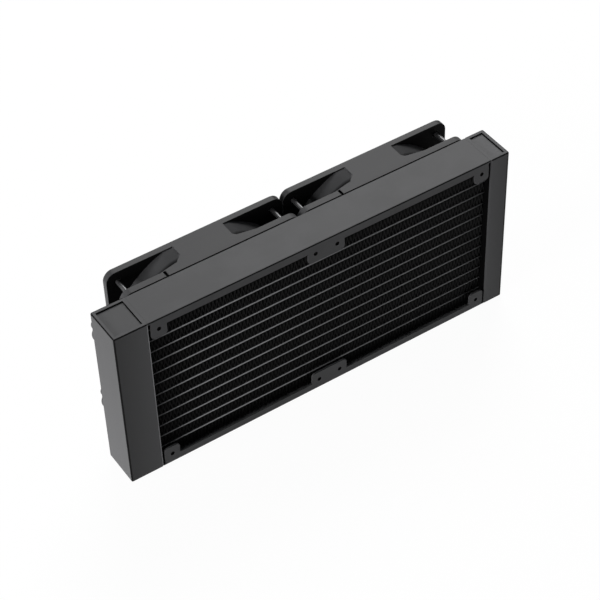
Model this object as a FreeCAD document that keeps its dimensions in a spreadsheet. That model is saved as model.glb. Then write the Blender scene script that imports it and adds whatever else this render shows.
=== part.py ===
import FreeCAD, Part
import math
import os
import Sketcher
from FreeCAD import Placement, Rotation, Vector

# Radiator of a liquid cooler for two 120 mm fans, standing on its long edge, with both fans on its back.
# X runs along the radiator, Y from its open front towards the fans, Z up.
# The origin is the middle of the bottom of the whole assembly.

doc = FreeCAD.newDocument("cooler_radiator")

DRIVING_SIZES = [
    ("rad_depth", 26.5, "front to back of the radiator alone"),
    ("core_inset", 1.0, "stretch of each fan past the finned core"),
    ("left_tank_width", 22.0, "wide tank that carries the hose fittings"),
    ("right_tank_width", 14.0, "narrow tank where the coolant turns back"),
    ("tank_wall", 2.3, "wall of the extruded tanks"),
    ("tank_edge", 1.0, "radius of the tanks' long outer edges"),
    ("cap_recess", 1.0, "depth of the end caps below the tank's rim"),
    ("cap_thickness", 2.2, "sheet of the tank end caps"),
    ("cap_edge", 0.3, "bevel round an end cap's face"),
    ("divider_thickness", 2.0, "plate that parts the inlet from the outlet"),
    ("tube_count", 12, "coolant tubes in the core"),
    ("tube_margin", 10.85, "height from the radiator's edge to the outer tube"),
    ("tube_thickness", 1.8, "outer thickness of a flat tube"),
    ("tube_wall", 0.35, "wall of a flat tube"),
    ("tube_nose", 0.7, "taper of a tube's narrow sides"),
    ("tube_reach", 1.0, "stretch of a tube inside each tank"),
    ("core_recess", 5.0, "core behind the front and back faces"),
    ("braze_gap", 0.05, "gap round what is brazed into a tank wall"),
    ("fin_legs", 36, "legs of one folded fin strip"),
    ("fin_sheet", 0.6, "height that the fin sheet takes in a leg"),
    ("plate_sheet", 1.2, "sheet of the two side plates"),
    ("plate_bend", 1.0, "outer radius of a side plate's bends"),
    ("flange_height", 5.6, "height of a side plate's flanges"),
    ("flange_end_gap", 1.5, "gap from a flange's end to the tank"),
    ("tab_width", 10.4, "screw tab at each corner"),
    ("tab_drop", 13.6, "reach of a tab from the plate's outer face"),
    ("tab_corner", 2.6, "corner radius of the tabs"),
    ("tab_hole", 2.6, "tapped hole in each front tab, at the core of its thread"),
    ("screw_hole", 3.0, "hole in each back tab, round the screw's full width"),
    ("neck_diameter", 10.0, "hose fitting's neck in the tank wall"),
    ("collar_diameter", 16.9, "hose fitting's collar on the tank"),
    ("collar_height", 7.3, "height of that collar"),
    ("barb_diameter", 9.9, "largest diameter of the hose barbs"),
    ("stem_diameter", 8.4, "stem between the barbs"),
    ("fitting_bore", 6.2, "coolant passage of a hose fitting"),
    ("stem_length", 1.1, "bare stem between the collar and the first barb"),
    ("barb_length", 3.1, "length of one barb"),
    ("nose_length", 1.8, "tapered nose in front of the barbs"),
    ("inlet_drop", 25.5, "upper hose fitting's distance from the top edge"),
    ("outlet_height", 38.4, "height of the lower hose fitting"),
    ("fan_size", 119.6, "side of a fan's square frame"),
    ("fan_spacing", 0.4, "gap between the two fans"),
    ("fan_depth", 25.0, "depth of a fan"),
    ("fan_corner", 6.5, "corner radius of a fan frame"),
    ("hole_inset", 7.3, "screw hole's distance from a fan's side"),
    ("fan_hole", 4.3, "screw hole in a fan frame"),
    ("near_flange", 4.7, "fan flange against the radiator"),
    ("far_flange", 5.2, "fan flange at the open side"),
    ("rim_bevel", 1.3, "bevel round the open side's rim"),
    ("duct_margin", 2.1, "wall between the air duct and a fan's side"),
    ("duct_wall", 1.9, "wall of the duct between the flanges"),
    ("flare_foot", 10.3, "duct's wall where its flare meets the near flange"),
    ("flare_middle", 5.5, "duct's wall half way up that flare"),
    ("flare_neck", 2.9, "duct's wall where that flare starts"),
    ("flare_rise", 2.3, "height of the flare's lower part"),
    ("flare_height", 9.8, "height of the whole flare"),
    ("mouth_flare", 0.8, "widening of the duct at the open side"),
    ("mouth_depth", 5.0, "depth of that widening"),
    ("panel_left", 15.3, "flat side panel, towards -X of the fan axis"),
    ("panel_right", 18.5, "flat side panel, towards +X of the fan axis"),
    ("slit_offset", 30.0, "cable slit, towards -X of the fan axis"),
    ("slit_width", 1.8, "width of the cable slit"),
    ("plate_margin", 3.5, "motor plate's rim round the circuit board"),
    ("motor_plate", 2.2, "thickness of the motor plate"),
    ("strut_count", 4, "struts that hold the motor plate"),
    ("strut_width", 3.6, "width of a strut"),
    ("strut_depth", 3.6, "depth of a strut along the axis"),
    ("strut_sweep", 9.0, "sideways sweep of a strut"),
    ("sleeve_diameter", 8.0, "bearing's outer diameter"),
    ("post_wall", 1.5, "wall of the post round the bearing"),
    ("post_top", 18.5, "end of that post from the near face"),
    ("bearing_floor", 3.6, "start of the bearing from the near face"),
    ("shaft_diameter", 3.0, "rotor shaft"),
    ("shaft_clearance", 0.03, "radial running gap of the shaft"),
    ("shaft_tip", 2.5, "shaft's lower end from the near face"),
    ("clip_thickness", 0.4, "retaining clip"),
    ("clip_diameter", 6.2, "outer diameter of the retaining clip"),
    ("clip_play", 0.3, "axial play between clip and bearing"),
    ("fit_gap", 0.02, "radial gap of pressed and glued rings"),
    ("hub_diameter", 40.6, "outer diameter of the rotor hub"),
    ("hub_wall", 1.4, "wall of the rotor hub"),
    ("hub_start", 3.7, "rotor hub's open end from the near face"),
    ("hub_end", 23.6, "rotor hub's closed face from the near face"),
    ("hub_bevel", 1.0, "bevel of the hub's closed face"),
    ("boss_diameter", 6.0, "boss that holds the shaft"),
    ("boss_length", 2.6, "length of that boss inside the hub"),
    ("yoke_sheet", 0.8, "steel cup inside the hub"),
    ("magnet_thickness", 1.6, "ring magnet inside the cup"),
    ("magnet_start", 6.0, "ring magnet's lower end from the near face"),
    ("magnet_length", 12.0, "length of the ring magnet"),
    ("air_gap", 0.6, "gap between the poles and the magnet"),
    ("pole_count", 4, "poles of the stator"),
    ("pole_arm", 3.4, "width of a pole's arm"),
    ("pole_shoe", 1.6, "thickness of a pole's shoe"),
    ("shoe_angle", 66.0, "angle that a pole's shoe spans"),
    ("stator_start", 8.4, "stator's lower face from the near face"),
    ("stator_length", 6.6, "length of the lamination stack"),
    ("stator_ring", 1.9, "radial width of the stack's inner ring"),
    ("winding_build", 1.6, "thickness of a winding"),
    ("winding_gap", 0.2, "gap from a winding to the iron"),
    ("board_thickness", 1.2, "motor's circuit board"),
    ("board_diameter", 34.0, "diameter of the circuit board"),
    ("blade_count", 7, "blades of a rotor"),
    ("blade_tip_gap", 1.0, "gap from the blade tips to the duct"),
    ("blade_sheet", 1.5, "thickness of a blade"),
    ("root_chord", 22.0, "blade's length at the hub"),
    ("tip_chord", 36.0, "blade's length at the tip"),
    ("root_angle", 47.0, "blade's pitch at the hub"),
    ("tip_angle", 25.0, "blade's pitch at the tip"),
    ("blade_camber", 1.8, "rise of a blade's curve"),
    ("blade_sweep", 14.0, "forward sweep of the tip"),
    ("blade_middle", 13.6, "blade's mid height from the near face"),
    ("screw_diameter", 2.9, "screws that hold the fans"),
    ("screw_end", 0.4, "screw's stretch past the tab"),
    ("screw_head_diameter", 6.6, "pan head of a screw"),
    ("screw_head_height", 2.4, "height of that head"),
]

PLACES = [
    ("fan_pitch", "Sizes.fan_size + Sizes.fan_spacing", "spacing of the two fans"),
    ("hole_pitch", "Sizes.fan_size - 2 * Sizes.hole_inset", "square screw pattern of a fan"),
    ("duct_bore", "Sizes.fan_size - 2 * Sizes.duct_margin", "air duct through a fan"),
    ("rad_height", "Sizes.fan_size", "height of the radiator on its long edge, level with the fans"),
    ("core_length", "2 * fan_pitch - 2 * Sizes.core_inset", "finned length between the two tanks"),
    ("tube_span", "rad_height - 2 * Sizes.tube_margin", "height from the lowest tube to the topmost"),
    ("tube_pitch", "tube_span / (Sizes.tube_count - 1)", "spacing of the coolant tubes"),
    ("middle_tab_width", "Sizes.tab_width + fan_pitch - hole_pitch", "double screw tab at mid length"),
    ("inlet_height", "rad_height - Sizes.inlet_drop", "height of the upper hose fitting"),
    ("first_barb", "Sizes.collar_height + Sizes.stem_length", "start of a fitting's first barb"),
    ("second_barb", "first_barb + Sizes.barb_length", "start of its second barb"),
    ("barb_end", "second_barb + Sizes.barb_length", "end of that barb's straight land"),
    ("fitting_reach", "barb_end + Sizes.nose_length", "hose fitting's reach behind the tank"),
    ("motor_plate_diameter", "Sizes.board_diameter + 2 * Sizes.plate_margin", "fan's motor plate"),
    ("core_x", "(Sizes.left_tank_width - Sizes.right_tank_width) / 2", "middle of the core and of the fans"),
    ("total_depth", "Sizes.rad_depth + Sizes.fan_depth + Sizes.screw_head_height", "whole assembly"),
    ("front_y", "-total_depth / 2", "radiator's open front face"),
    ("mid_y", "front_y + Sizes.rad_depth / 2", "middle of the radiator's depth"),
    ("back_y", "front_y + Sizes.rad_depth", "radiator's back face, where the fans sit"),
    ("mid_z", "rad_height / 2", "middle height"),
    ("core_depth", "Sizes.rad_depth - 2 * Sizes.core_recess", "depth of tubes and fins"),
    ("left_tank_x", "core_x - core_length / 2 - Sizes.left_tank_width / 2", "middle of the left tank"),
    ("right_tank_x", "core_x + core_length / 2 + Sizes.right_tank_width / 2", "middle of the right tank"),
    ("hub_bore", "Sizes.hub_diameter / 2 - Sizes.hub_wall", "inner radius of the hub's wall"),
    ("yoke_outer", "hub_bore - Sizes.fit_gap", "outer radius of the steel cup"),
    ("yoke_inner", "yoke_outer - Sizes.yoke_sheet", "inner radius of the steel cup"),
    ("magnet_outer", "yoke_inner - Sizes.fit_gap", "outer radius of the ring magnet"),
    ("magnet_inner", "magnet_outer - Sizes.magnet_thickness", "inner radius of the ring magnet"),
    ("pole_outer", "magnet_inner - Sizes.air_gap", "outer radius of the poles"),
    ("hub_ceiling", "Sizes.hub_end - Sizes.hub_wall", "inside of the hub's closed face"),
    ("post_inner", "Sizes.sleeve_diameter / 2 + Sizes.fit_gap", "inner radius of the bearing post"),
    ("post_outer", "post_inner + Sizes.post_wall", "outer radius of the bearing post"),
    ("stator_bore", "post_outer + Sizes.fit_gap", "bore of the lamination stack"),
]

sizes = doc.addObject("Spreadsheet::Sheet", "Sizes")
for row, (alias, value, meaning) in enumerate(DRIVING_SIZES, start=1):
    sizes.set(f"A{row}", meaning)
    sizes.set(f"B{row}", str(value))
    sizes.setAlias(f"B{row}", alias)

places = doc.addObject("Spreadsheet::Sheet", "Places")
for row, (alias, formula, meaning) in enumerate(PLACES, start=1):
    places.set(f"A{row}", meaning)
    places.set(f"B{row}", f"={formula}")
    places.setAlias(f"B{row}", alias)
doc.recompute()

NODES = []


def number(expression):
    """Present value of an expression over the two sheets."""
    result = sizes.evalExpression(str(expression))
    return float(getattr(result, "Value", result))


def size(alias):
    """Present value of one driving dimension."""
    return number(f"Sizes.{alias}")


def place(alias):
    """Present value of one derived dimension."""
    return number(f"Places.{alias}")


def node(obj):
    """Lists an object as one physical piece."""
    NODES.append(obj)
    return obj


def put(obj, x="0", y="0", z="0"):
    """Binds an object's position to three expressions."""
    for axis, expression in (("x", x), ("y", y), ("z", z)):
        obj.setExpression(f"Placement.Base.{axis}", expression)


def new_body(label):
    body = doc.addObject("PartDesign::Body", label)
    body.Label = label
    return body


def new_sketch(body, name, role, offset="0"):
    """Sketch on one of the body's own planes, moved along that plane's normal."""
    sketch = body.newObject("Sketcher::SketchObject", name)
    plane = next(item for item in body.Origin.OriginFeatures if item.Role == role)
    sketch.AttachmentSupport = (plane, [""])
    sketch.MapMode = "FlatFace"
    sketch.setExpression("AttachmentOffset.Base.z", offset)
    return sketch


def upright_sketch(body, name, y="0"):
    """Sketch in X and Z, at a given Y."""
    return new_sketch(body, name, "XZ_Plane", f"-({y})")


def bind(sketch, kind, *where, value):
    """Adds a dimension whose value follows an expression."""
    index = sketch.addConstraint(Sketcher.Constraint(kind, *where, number(value)))
    sketch.setExpression(f"Constraints[{index}]", value)


def pin_point(sketch, geometry, end, x, y):
    """Holds one end of a line or the centre of an arc at two expressions."""
    bind(sketch, "DistanceX", -1, 1, geometry, end, value=x)
    bind(sketch, "DistanceY", -1, 1, geometry, end, value=y)


def outline(sketch, corners, arcs=None):
    """Closed outline through corners given as expressions; arcs gives the radius of the edges that are round.

    A positive radius bulges to the right of the edge's direction, a negative one to the left.
    """
    arcs = arcs or {}
    spots = [Vector(number(x), number(y), 0) for x, y in corners]
    ends = []
    for index, start in enumerate(spots):
        stop = spots[(index + 1) % len(spots)]
        if index not in arcs:
            geometry = sketch.addGeometry(Part.LineSegment(start, stop), False)
            ends.append((geometry, 1, 2))
            continue
        radius = number(arcs[index])
        chord = stop.sub(start)
        rise = math.sqrt(max(radius ** 2 - (chord.Length / 2) ** 2, 0.0))
        side = Vector(-chord.y, chord.x, 0).normalize().multiply(math.copysign(rise, radius))
        centre = start.add(chord.multiply(0.5)).add(side)
        turns_left = radius > 0
        first, last = (start, stop) if turns_left else (stop, start)
        begin = math.atan2(first.y - centre.y, first.x - centre.x)
        finish = math.atan2(last.y - centre.y, last.x - centre.x)
        if finish < begin:
            finish += 2 * math.pi
        circle_of_arc = Part.Circle(centre, Vector(0, 0, 1), abs(radius))
        geometry = sketch.addGeometry(Part.ArcOfCircle(circle_of_arc, begin, finish), False)
        ends.append((geometry, 1, 2) if turns_left else (geometry, 2, 1))
        bind(sketch, "Radius", geometry, value=f"abs({arcs[index]})")
    for index, (geometry, start, stop) in enumerate(ends):
        following, next_start, _ = ends[(index + 1) % len(ends)]
        sketch.addConstraint(Sketcher.Constraint("Coincident", geometry, stop, following, next_start))
        pin_point(sketch, geometry, start, *corners[index])


def rectangle(sketch, left, bottom, right, top):
    outline(sketch, [(left, bottom), (right, bottom), (right, top), (left, top)])


def rounded_rectangle(sketch, left, bottom, right, top, radius):
    """Rectangle with round corners, held by its four sides and one radius."""
    west, south, east, north, bend = (number(item) for item in (left, bottom, right, top, radius))
    spots = [(west + bend, south), (east - bend, south), (east, south + bend), (east, north - bend),
             (east - bend, north), (west + bend, north), (west, north - bend), (west, south + bend)]
    spots = [Vector(x, y, 0) for x, y in spots]
    centres = [(east - bend, south + bend), (east - bend, north - bend),
               (west + bend, north - bend), (west + bend, south + bend)]
    lines = [sketch.addGeometry(Part.LineSegment(spots[2 * i], spots[2 * i + 1]), False) for i in range(4)]
    rounds = []
    for i, (x, y) in enumerate(centres):
        circle_of_arc = Part.Circle(Vector(x, y, 0), Vector(0, 0, 1), bend)
        begin = math.pi / 2 * (i - 1)
        rounds.append(sketch.addGeometry(Part.ArcOfCircle(circle_of_arc, begin, begin + math.pi / 2), False))
    for i in range(4):
        sketch.addConstraint(Sketcher.Constraint("Tangent", lines[i], 2, rounds[i], 1))
        sketch.addConstraint(Sketcher.Constraint("Tangent", rounds[i], 2, lines[(i + 1) % 4], 1))
        sketch.addConstraint(Sketcher.Constraint("Horizontal" if i % 2 == 0 else "Vertical", lines[i]))
    for other in rounds[1:]:
        sketch.addConstraint(Sketcher.Constraint("Equal", rounds[0], other))
    bind(sketch, "Radius", rounds[0], value=radius)
    bind(sketch, "DistanceY", -1, 1, lines[0], 1, value=bottom)
    bind(sketch, "DistanceX", -1, 1, lines[1], 1, value=right)
    bind(sketch, "DistanceY", -1, 1, lines[2], 1, value=top)
    bind(sketch, "DistanceX", -1, 1, lines[3], 1, value=left)


def flat_section(sketch, length, thickness, nose, y="0"):
    """Flat tube section whose narrow sides taper to a nose."""
    half = f"({length}) / 2"
    shoulder = f"({half} - ({nose}))"
    rise = f"({thickness}) / 2"
    tip = f"({rise} - 0.6 * ({nose}))"
    outline(sketch, [
        (f"-{shoulder}", f"{y} - {rise}"), (shoulder, f"{y} - {rise}"), (half, f"{y} - {tip}"),
        (half, f"{y} + {tip}"), (shoulder, f"{y} + {rise}"), (f"-{shoulder}", f"{y} + {rise}"),
        (f"-{half}", f"{y} + {tip}"), (f"-{half}", f"{y} - {tip}"),
    ])


def circle(sketch, radius, x="0", y="0"):
    centre = Vector(number(x), number(y), 0)
    geometry = sketch.addGeometry(Part.Circle(centre, Vector(0, 0, 1), number(radius)), False)
    bind(sketch, "Radius", geometry, value=radius)
    pin_point(sketch, geometry, 3, x, y)


def feature(body, kind, name, sketch, length=None, reversed_way=False, midplane=False, through=False):
    """Pad or Pocket of a sketch, with its length bound to an expression."""
    made = body.newObject(f"PartDesign::{kind}", name)
    made.Profile = sketch
    if through:
        made.Type = "ThroughAll"
    else:
        made.setExpression("Length", length)
    made.Reversed = reversed_way
    made.Midplane = midplane
    sketch.Visibility = False
    return made


def pad_back(body, name, sketch, depth):
    """Adds material from an upright sketch towards +Y."""
    return feature(body, "Pad", name, sketch, depth, reversed_way=True)


def cut_forward(body, name, sketch, depth):
    """Removes material from an upright sketch towards -Y."""
    return feature(body, "Pocket", name, sketch, depth, reversed_way=True)


def turn(body, kind, name, sketch, axis="V_Axis"):
    """Revolution or Groove of a sketch right round one of its own axes."""
    made = body.newObject(f"PartDesign::{kind}", name)
    made.Profile = sketch
    made.ReferenceAxis = (sketch, [axis])
    made.Angle = 360.0
    return made


def round_pattern(body, name, originals, sketch, count):
    """Copies features round the normal of an upright sketch."""
    pattern = body.newObject("PartDesign::PolarPattern", name)
    pattern.Originals = originals
    pattern.Axis = (sketch, ["N_Axis"])
    pattern.Angle = 360.0
    pattern.setExpression("Occurrences", count)
    body.Tip = pattern
    return pattern


def edges_where(shape, test):
    """Names of a shape's edges that pass a test."""
    return [f"Edge{index}" for index, edge in enumerate(shape.Edges, start=1) if test(edge)]


def along(edge, direction):
    """Whether a straight edge runs along a direction."""
    if not isinstance(edge.Curve, Part.Line):
        return False
    return abs(abs(edge.Curve.Direction.dot(direction)) - 1) < 1e-6


def near(first, second):
    return abs(first - second) < 1e-4


def soften(body, kind, name, base, test, amount):
    """Fillet or Chamfer on the edges of a feature that pass a test."""
    doc.recompute()
    made = body.newObject(f"PartDesign::{kind}", name)
    made.Base = (base, edges_where(base.Shape, test))
    made.setExpression("Radius" if kind == "Fillet" else "Size", amount)
    return made


def lathe_body(label, corners, arcs=None):
    """Ring, disc or pin turned about Y; corners are radius and height expressions."""
    body = new_body(label)
    sketch = new_sketch(body, f"{label}_section", "XY_Plane")
    outline(sketch, corners, arcs)
    turn(body, "Revolution", f"{label}_turned", sketch)
    return body


def tank_block(label, width):
    """Extruded rectangular tube, open at both ends, with its long outer edges round."""
    body = new_body(label)
    half_width = f"({width}) / 2"
    half_depth = "Sizes.rad_depth / 2"
    walls = new_sketch(body, f"{label}_outside", "XY_Plane")
    rectangle(walls, f"-{half_width}", f"-{half_depth}", half_width, half_depth)
    tube = feature(body, "Pad", f"{label}_extrusion", walls, "Places.rad_height")

    def is_upright(edge):
        return along(edge, Vector(0, 0, 1))

    soften(body, "Fillet", f"{label}_edges", tube, is_upright, "Sizes.tank_edge")
    inside = new_sketch(body, f"{label}_inside", "XY_Plane")
    inner_width = f"({half_width} - Sizes.tank_wall)"
    inner_depth = f"({half_depth} - Sizes.tank_wall)"
    rectangle(inside, f"-{inner_width}", f"-{inner_depth}", inner_width, inner_depth)
    feature(body, "Pocket", f"{label}_bore", inside, through=True, reversed_way=True)
    return body


def tank_slots(body, label, side):
    """Slots for the flat tubes in the tank wall that faces the core; side is +1 where that wall faces +X."""
    width = f"Sizes.{label}_width"
    face = f"{width} / 2" if side > 0 else f"-{width} / 2"
    slot = new_sketch(body, f"{label}_slot", "YZ_Plane", face)
    length = "Places.core_depth + 2 * Sizes.braze_gap"
    height = "Sizes.tube_thickness + 2 * Sizes.braze_gap"
    flat_section(slot, length, height, "Sizes.tube_nose", "Sizes.tube_margin")
    cut = feature(body, "Pocket", f"{label}_first_slot", slot, "Sizes.tank_wall", reversed_way=side < 0)
    row = body.newObject("PartDesign::LinearPattern", f"{label}_slots")
    row.Originals = [cut]
    row.Direction = (slot, ["V_Axis"])
    row.setExpression("Length", "Places.tube_span")
    row.setExpression("Occurrences", "Sizes.tube_count")
    body.Tip = row


def fitting_holes(body):
    """Two round holes for the hose fittings in the left tank's back wall."""
    radius = "Sizes.neck_diameter / 2 + Sizes.braze_gap"
    sketch = upright_sketch(body, "fitting_hole_pair", "Sizes.rad_depth / 2")
    circle(sketch, radius, y="Places.inlet_height")
    circle(sketch, radius, y="Sizes.outlet_height")
    cut_forward(body, "fitting_holes", sketch, "Sizes.tank_wall")


def tank(label, side):
    body = tank_block(label, f"Sizes.{label}_width")
    tank_slots(body, label, side)
    if label == "left_tank":
        fitting_holes(body)
    put(body, f"Places.{label}_x", "Places.mid_y")
    return node(body)


def tank_plate(label, tank_name, bottom, thickness, bevelled_height=None):
    """Flat plate that closes or divides a tank; bottom is the height of its lower face."""
    body = new_body(label)
    sketch = new_sketch(body, f"{label}_outline", "XY_Plane")
    half_width = f"(Sizes.{tank_name}_width / 2 - Sizes.tank_wall)"
    half_depth = "(Sizes.rad_depth / 2 - Sizes.tank_wall)"
    rectangle(sketch, f"-{half_width}", f"-{half_depth}", half_width, half_depth)
    plate = feature(body, "Pad", f"{label}_sheet", sketch, thickness)
    if bevelled_height is not None:
        rim = number(bevelled_height)
        soften(body, "Chamfer", f"{label}_edge", plate,
               lambda edge: near(edge.BoundBox.ZMin, rim) and near(edge.BoundBox.ZMax, rim), "Sizes.cap_edge")
    put(body, f"Places.{tank_name}_x", "Places.mid_y", bottom)
    return node(body)


def tank_caps(tank_name):
    top = "Places.rad_height - Sizes.cap_recess - Sizes.cap_thickness"
    tank_plate(f"{tank_name}_top_cap", tank_name, top, "Sizes.cap_thickness", "Sizes.cap_thickness")
    tank_plate(f"{tank_name}_bottom_cap", tank_name, "Sizes.cap_recess", "Sizes.cap_thickness", "0")


def tab_outline(sketch, left, right, root):
    """Screw tab that hangs from a flange, with its two free corners round."""
    low = "-Sizes.tab_drop"
    bend = "Sizes.tab_corner"
    outline(sketch, [
        (left, root), (left, f"{low} + {bend}"), (f"{left} + {bend}", low), (f"{right} - {bend}", low),
        (right, f"{low} + {bend}"), (right, root),
    ], {1: bend, 3: bend})


def side_plate(label, upside_down):
    """Folded channel along the core with screw tabs on both flanges; its outer face is at local Z = 0."""
    body = new_body(label)
    half_depth = "Sizes.rad_depth / 2"
    inner = f"({half_depth} - Sizes.plate_sheet)"
    profile = new_sketch(body, f"{label}_profile", "YZ_Plane")
    foot = "-Sizes.flange_height"
    web = "-Sizes.plate_sheet"
    outline(profile, [
        (f"-{half_depth}", "0"), (f"-{half_depth}", foot), (f"-{inner}", foot), (f"-{inner}", web),
        (inner, web), (inner, foot), (half_depth, foot), (half_depth, "0"),
    ])
    channel = feature(body, "Pad", f"{label}_channel", profile, "Places.core_length", midplane=True)

    def is_outer_bend(edge):
        return along(edge, Vector(1, 0, 0)) and near(edge.BoundBox.ZMax, 0)

    soften(body, "Fillet", f"{label}_bends", channel, is_outer_bend, "Sizes.plate_bend")
    for name, sign in (("left", "-"), ("right", "")):
        gap = upright_sketch(body, f"{label}_{name}_gap", half_depth)
        far = f"{sign}Places.core_length / 2"
        close = f"{sign}(Places.core_length / 2 - Sizes.flange_end_gap)"
        low, high = (far, close) if sign else (close, far)
        rectangle(gap, low, "-Sizes.flange_height", high, "-Sizes.plate_sheet")
        cut_forward(body, f"{label}_{name}_end", gap, "Sizes.rad_depth")
    fan_row = "Places.fan_pitch / 2"
    hole = "Places.hole_pitch / 2"
    inside_band = "-Sizes.plate_sheet - 0.4 * Sizes.flange_height"
    tabs = (
        ("left_tab", f"-{fan_row} - {hole}", "Sizes.tab_width"),
        ("middle_tab", "0", "Places.middle_tab_width"),
        ("right_tab", f"{fan_row} + {hole}", "Sizes.tab_width"),
    )
    for face, y in (("front", f"-{half_depth}"), ("back", inner)):
        for name, centre, width in tabs:
            tab = upright_sketch(body, f"{label}_{face}_{name}", y)
            tab_outline(tab, f"{centre} - {width} / 2", f"{centre} + {width} / 2", inside_band)
            pad_back(body, f"{label}_{face}_{name}_pad", tab, "Sizes.plate_sheet")
    hole_drop = f"{hole} - Places.mid_z"
    hole_rows = (
        ("front", f"Sizes.plate_sheet - {half_depth}", "Sizes.tab_hole / 2"),
        ("back", half_depth, "Sizes.screw_hole / 2"),
    )
    for face, y, radius in hole_rows:
        holes = upright_sketch(body, f"{label}_{face}_hole_row", y)
        for fan_centre in (f"-{fan_row}", fan_row):
            circle(holes, radius, f"{fan_centre} - {hole}", hole_drop)
            circle(holes, radius, f"{fan_centre} + {hole}", hole_drop)
        cut_forward(body, f"{label}_{face}_holes", holes, "Sizes.plate_sheet")
    if upside_down:
        body.Placement = Placement(Vector(), Rotation(Vector(0, 1, 0), 180))
        put(body, "Places.core_x", "Places.mid_y", "0")
    else:
        put(body, "Places.core_x", "Places.mid_y", "Places.rad_height")
    return node(body)


def coolant_tube(index):
    """Hollow flat tube that runs from tank to tank."""
    label = f"coolant_tube_{index + 1:02d}"
    body = new_body(label)
    section = new_sketch(body, f"{label}_section", "YZ_Plane")
    flat_section(section, "Places.core_depth", "Sizes.tube_thickness", "Sizes.tube_nose")
    inner_length = "Places.core_depth - 2 * Sizes.tube_wall"
    inner_thickness = "Sizes.tube_thickness - 2 * Sizes.tube_wall"
    flat_section(section, inner_length, inner_thickness, "Sizes.tube_nose - Sizes.tube_wall / 2")
    length = "Places.core_length + 2 * (Sizes.tank_wall + Sizes.tube_reach)"
    feature(body, "Pad", f"{label}_drawn", section, length, midplane=True)
    height = f"Sizes.tube_margin + {index} * Places.tube_pitch"
    put(body, "Places.core_x", "Places.mid_y", height)
    return node(body)


def fin_strip(index):
    """Sheet folded to and fro between two tubes, or between the outer tube and a side plate."""
    count = int(size("tube_count"))
    first_tube = size("tube_margin")
    half_tube = size("tube_thickness") / 2
    low = size("plate_sheet") if index == 0 else first_tube + (index - 1) * place("tube_pitch") + half_tube
    high = first_tube + index * place("tube_pitch") - half_tube
    if index == count:
        high = place("rad_height") - size("plate_sheet")
    legs = int(size("fin_legs"))
    step = place("core_length") / legs
    start = place("core_x") - place("core_length") / 2
    front = place("mid_y") - place("core_depth") / 2
    crest = high
    valley = low + size("fin_sheet")
    upper = [Vector(start + leg * step, front, crest if leg % 2 else valley) for leg in range(legs + 1)]
    lower = [Vector(point.x, point.y, point.z - size("fin_sheet")) for point in reversed(upper)]
    wire = Part.makePolygon(upper + lower + upper[:1])
    strip = doc.addObject("Part::Feature", f"fin_strip_{index + 1:02d}")
    strip.Shape = Part.Face(wire).extrude(Vector(0, place("core_depth"), 0))
    return node(strip)


def hose_fitting(label, height):
    """Turned hose barb brazed into the tank's back wall; local Y = 0 is the tank's back face."""
    bore = "Sizes.fitting_bore / 2"
    neck = "Sizes.neck_diameter / 2"
    stem = "Sizes.stem_diameter / 2"
    barb = "Sizes.barb_diameter / 2"
    collar = "Sizes.collar_diameter / 2"
    corners = [
        (bore, "-Sizes.tank_wall"), (neck, "-Sizes.tank_wall"), (neck, "0"), (collar, "0"),
        (collar, "Sizes.collar_height"),
        (stem, "Sizes.collar_height"), (stem, "Places.first_barb"), (barb, "Places.first_barb"),
        (stem, "Places.second_barb"), (barb, "Places.second_barb"), (barb, "Places.barb_end"),
        (bore, "Places.fitting_reach"),
    ]
    body = lathe_body(label, corners)
    put(body, "Places.left_tank_x", "Places.back_y", height)
    return node(body)


def fan_place(body, side):
    """Puts a fan piece on the axis of the left or the right fan."""
    put(body, f"Places.core_x + {side} * Places.fan_pitch / 2", "Places.back_y", "Places.mid_z")
    return node(body)


def flange_square(sketch):
    half = "Sizes.fan_size / 2"
    rounded_rectangle(sketch, f"-{half}", f"-{half}", half, half, "Sizes.fan_corner")


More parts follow.
